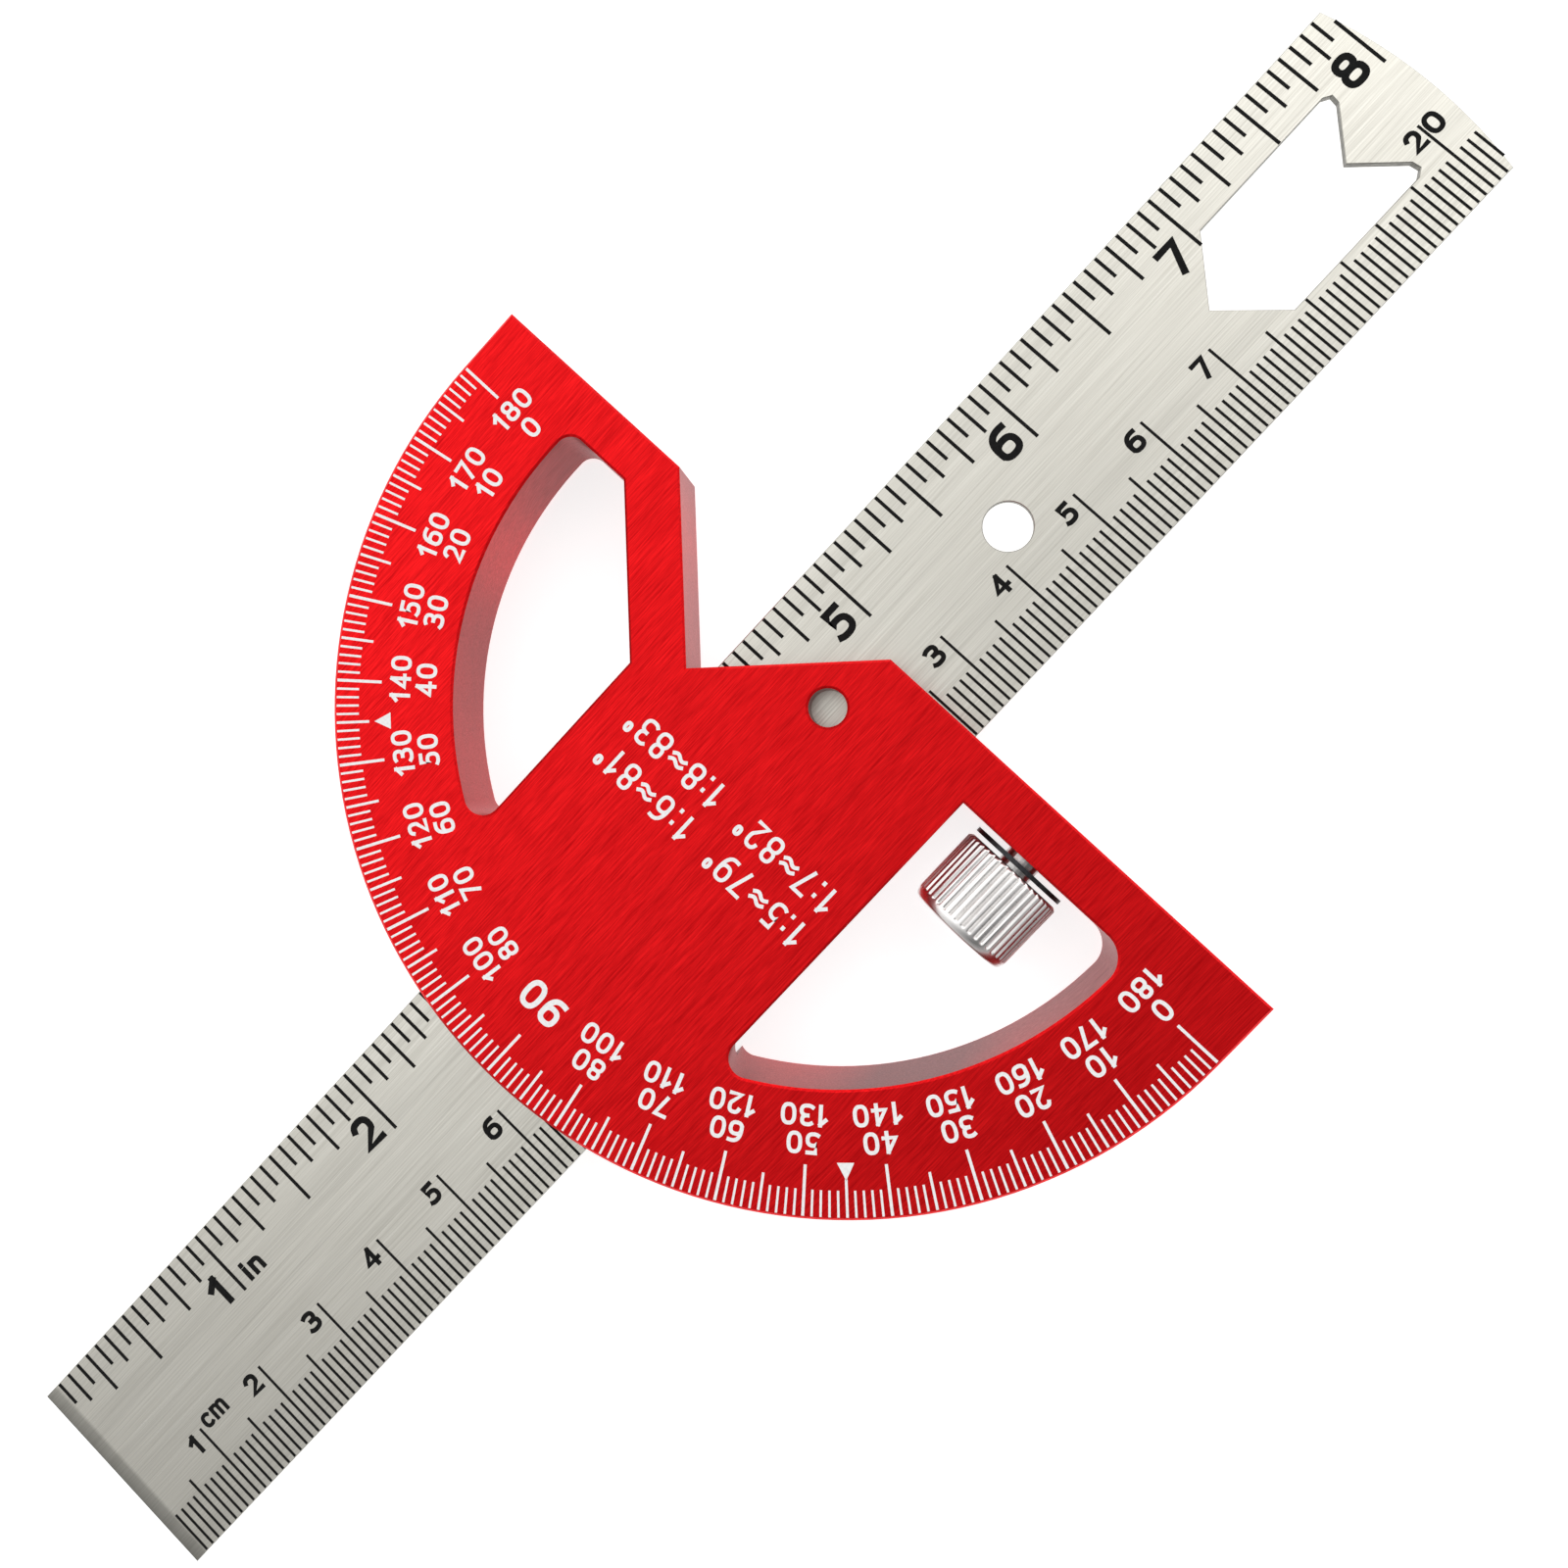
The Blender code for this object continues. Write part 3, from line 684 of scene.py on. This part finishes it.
def edge_tick(bm, edges, x, edge, length, width, z, first=EDGE_INSET):
    """A tick from the long edge inwards, from first to length, kept on the metal."""
    cuts = crossings(edges, x)
    if len(cuts) < 2:
        return
    inward = 1 if edge < RULE_MIDDLE else -1
    outer = cuts[0] if inward > 0 else cuts[-1]
    start = max(first, (outer - edge) * inward + EDGE_INSET)
    end = length
    for y in cuts[1:-1]:
        past = (y - edge) * inward
        if start < past < end:
            end = past - EDGE_INSET
    if end - start > 0.3 * MM:
        add_line(bm, (x, edge + inward * start), (x, edge + inward * end), width, z)


def text_before(bm, text, right, baseline, font, z):
    """Text on a baseline, ending at right."""
    width = text_width(text, font, font[0] * LETTER_SPACING)
    add_text(bm, text, (right - width / 2, baseline + font[0] / 2), 0.0, font, z)


def make_rule_marks(black):
    top = RULE_HIGH.z
    inch_zero = RULE_LOW.x + INCH_ZERO
    mm_zero = RULE_LOW.x + MM_ZERO
    edges = rule_outlines()
    inch_ticks = bmesh.new()
    for number in range(1, 8 * 16 + 1):
        step = max(s for s in INCH_TICKS if number % s == 0)
        x = inch_zero + number * INCH / 16
        first = LAST_INCH_START if number == 8 * 16 else EDGE_INSET
        edge_tick(inch_ticks, edges, x, RULE_HIGH.y, INCH_TICKS[step], INCH_WIDTH, top, first)
    piece("inch_ticks", inch_ticks, black, "rule")

    mm_ticks = bmesh.new()
    for number in range(1, 204):
        step = max(s for s in MM_TICKS if number % s == 0)
        x = mm_zero + number * MM
        edge_tick(mm_ticks, edges, x, RULE_LOW.y, MM_TICKS[step], MM_WIDTH, top)
    piece("millimetre_ticks", mm_ticks, black, "rule")

    figures = bmesh.new()
    baseline = RULE_HIGH.y - INCH_BASELINE
    for inch in range(1, 9):
        right = inch_zero + inch * INCH - INCH_FIGURE_GAP
        text_before(figures, str(inch), right, baseline, INCH_FONT, top)
    place = (inch_zero + INCH + INCH_UNIT_PLACE, baseline + INCH_UNIT_FONT[0] / 2)
    add_text(figures, "in", place, 0.0, INCH_UNIT_FONT, top)
    piece("inch_figures", figures, black, "rule")

    figures = bmesh.new()
    baseline = RULE_LOW.y + CM_BASELINE
    for centimetre in range(1, 18):
        value = centimetre if centimetre < 13 else centimetre - 10
        right = mm_zero + centimetre * 10 * MM - CM_FIGURE_GAP
        text_before(figures, str(value), right, baseline, CM_FONT, top)
    twenty = (mm_zero + 200 * MM, baseline + CM_FONT[0] / 2)
    add_text(figures, "20", twenty, 0.0, CM_FONT, top, 0.65 * MM)
    place = (mm_zero + 10 * MM + CM_UNIT_PLACE, RULE_LOW.y + CM_UNIT_BASELINE + CM_UNIT_FONT[0] / 2)
    add_text(figures, "cm", place, 0.0, CM_UNIT_FONT, top)
    piece("centimetre_figures", figures, black, "rule")


# Knob


def make_knob(material):
    """The knurled knob, turned about its own axis: straight ridges between smooth, rounded ends."""
    middle = (KNOB_LOW + KNOB_HIGH) / 2
    full = (KNOB_HIGH.z - KNOB_LOW.z) / 2
    length = KNOB_HIGH.x - KNOB_LOW.x
    # distance from the outer end, radius, and share of the ridges' depth
    profile = [
        (0.0, full - 2.4 * MM, 0.0),
        (0.01 * MM, full - 1.0 * MM, 0.0),
        (0.06 * MM, full - 0.6 * MM, 0.0),
        (0.15 * MM, full - 0.38 * MM, 0.0),
        (0.31 * MM, full - 0.22 * MM, 0.0),
        (0.83 * MM, full - 0.05 * MM, 0.0),
        (1.0 * MM, full - 0.03 * MM, 0.0),
        (1.06 * MM, full - 0.02 * MM, 0.3),
        (1.2 * MM, full - 0.01 * MM, 1.0),
        (1.25 * MM, full, 1.0),
        (length - 0.36 * MM, full, 1.0),
        (length - 0.3 * MM, full - 0.02 * MM, 1.0),
        (length - 0.1 * MM, full - 0.24 * MM, 0.2),
        (length - 0.06 * MM, full - 0.3 * MM, 0.0),
        (length, full - 0.42 * MM, 0.0),
        (length, full - 0.6 * MM, 0.0),
        (length, STUD_HIGH.z - middle.z + 0.05 * MM, 0.0),
    ]
    bm = bmesh.new()
    count = KNOB_RIDGES * RIDGE_STEPS
    rings = []
    for along, radius, share in profile:
        ring = []
        for i in range(count):
            angle = math.tau * i / count
            groove = abs(math.cos(KNOB_RIDGES * angle / 2)) ** 7
            reach = radius - RIDGE_DEPTH * share * groove
            y = middle.y + reach * math.cos(angle)
            z = middle.z + reach * math.sin(angle)
            ring.append(bm.verts.new((KNOB_LOW.x + along, y, z)))
        rings.append(ring)
    for low, high in zip(rings, rings[1:]):
        for i in range(count):
            j = (i + 1) % count
            bm.faces.new((low[i], low[j], high[j], high[i]))
    bm.faces.new(rings[0])
    bm.faces.new(reversed(rings[-1]))
    knob = piece("knurled_knob", bm, material, "thumbscrew", smooth=True)
    knob.data.set_sharp_from_angle(angle=math.radians(38))
    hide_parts("thumb_knob")


# Stage


def make_floor():
    bm = bmesh.new()
    bmesh.ops.create_grid(bm, x_segments=1, y_segments=1, size=FLOOR_HALF)
    mesh = bpy.data.meshes.new("floor")
    bm.to_mesh(mesh)
    bm.free()
    floor = bpy.data.objects.new("floor", mesh)
    floor.location = (0.0, 0.0, -FLOOR_DROP)
    bpy.context.scene.collection.objects.link(floor)
    nodes = Nodes("floor_paper")
    grain = nodes.noise(nodes.scaled((30.0, 30.0, 30.0)), 1.0, 2.0)
    nodes.colour(nodes.ramp(grain, "Fac", [(0.3, (0.52, 0.52, 0.52)), (0.7, (0.55, 0.55, 0.55))]))
    nodes.shader.inputs["Roughness"].default_value = 0.9
    nodes.shader.inputs["Specular IOR Level"].default_value = 0.1
    nodes.shader.inputs["Emission Color"].default_value = (1.0, 1.0, 1.0, 1.0)
    nodes.shader.inputs["Emission Strength"].default_value = FLOOR_GLOW
    mesh.materials.append(nodes.material)


def make_lights():
    """A soft light all around, even at the horizon.

    Overhead it leans to one side, and has two broad boxes with a dimmer gap between them.
    """
    world = bpy.data.worlds.new("studio")
    world.use_nodes = True
    tree = world.node_tree

    def value(operation, *inputs):
        node = tree.nodes.new("ShaderNodeMath")
        node.operation = operation
        for socket, source in zip(node.inputs, inputs):
            if isinstance(source, float):
                socket.default_value = source
            else:
                tree.links.new(source, socket)
        return node.outputs["Value"]

    place = tree.nodes.new("ShaderNodeTexCoord").outputs["Generated"]
    lean = tree.nodes.new("ShaderNodeVectorMath")
    lean.operation = "DOT_PRODUCT"
    lean.inputs[1].default_value = SKY_LEAN
    tree.links.new(place, lean.inputs[0])
    split = tree.nodes.new("ShaderNodeSeparateXYZ")
    tree.links.new(place, split.inputs[0])
    overhead = value("MAXIMUM", split.outputs["Z"], 0.0)
    leaning = value("MULTIPLY", lean.outputs["Value"], overhead)
    even = value("MULTIPLY_ADD", leaning, SKY_STRENGTH, SKY_STRENGTH)
    phase = value("MULTIPLY_ADD", split.outputs["X"], BOX_PITCH, BOX_PHASE)
    bands = value("MULTIPLY", value("COSINE", phase), overhead)
    boxes = value("MULTIPLY_ADD", bands, BOX_CONTRAST, 1.0)
    background = tree.nodes["Background"]
    background.inputs["Color"].default_value = (1.0, 1.0, 1.0, 1.0)
    strength = value("MAXIMUM", value("MULTIPLY", even, boxes), SKY_LEAST)
    tree.links.new(strength, background.inputs["Strength"])
    bpy.context.scene.world = world


def make_camera():
    """A near view, almost straight down on the front face. The rule runs from corner to corner."""
    data = bpy.data.cameras.new("camera")
    data.sensor_width = CAMERA_SENSOR
    data.lens = CAMERA_LENS
    data.shift_x = CAMERA_SHIFT[0]
    data.shift_y = CAMERA_SHIFT[1]
    data.clip_start = 0.005
    camera = bpy.data.objects.new("camera", data)
    right = Vector(CAMERA_RIGHT).normalized()
    back = Vector(CAMERA_BACK)
    back = (back - right * back.dot(right)).normalized()
    up = back.cross(right)
    turn = Matrix((right, up, back)).transposed()
    camera.matrix_world = Matrix.Translation(Vector(CAMERA_PLACE)) @ turn.to_4x4()
    bpy.context.scene.collection.objects.link(camera)
    bpy.context.scene.camera = camera


FINISH_OF = {
    "red": ("head_body", "back_cover"),
    "steel": ("rule",),
    "nickel": ("thumb_knob", "clamp_stud"),
    "dark": ("washer", "bore_plug") + tuple(f"cover_screw_{i}" for i in range(1, 7)),
    "pin": ("dowel_pin_1", "dowel_pin_2", "leaf_spring_1", "leaf_spring_2", "clamp_pin"),
    "brass": ("pressure_pad",),
}


def main():
    make_camera()
    finishes = {
        "red": brushed_red(),
        "steel": brushed_steel(),
        "nickel": nickel(),
        "dark": dark_steel(),
        "pin": turned_metal("turned_steel", (0.5, 0.5, 0.49), (0.68, 0.67, 0.65), 0.28),
        "brass": turned_metal("brass", (0.58, 0.40, 0.16), (0.78, 0.58, 0.28), 0.25),
    }
    for finish, names in FINISH_OF.items():
        for name in names:
            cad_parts[name].data.materials.clear()
            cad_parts[name].data.materials.append(finishes[finish])
    make_head_marks(ink("white_ink", (0.86, 0.84, 0.84), (0.97, 0.97, 0.97), 0.6, 0.3))
    make_rule_marks(ink("black_ink", (0.004, 0.004, 0.004), (0.012, 0.012, 0.012), 0.8, 0.1))
    make_knob(finishes["nickel"])
    make_floor()
    make_lights()
    bpy.context.scene.view_settings.view_transform = "Standard"


main()
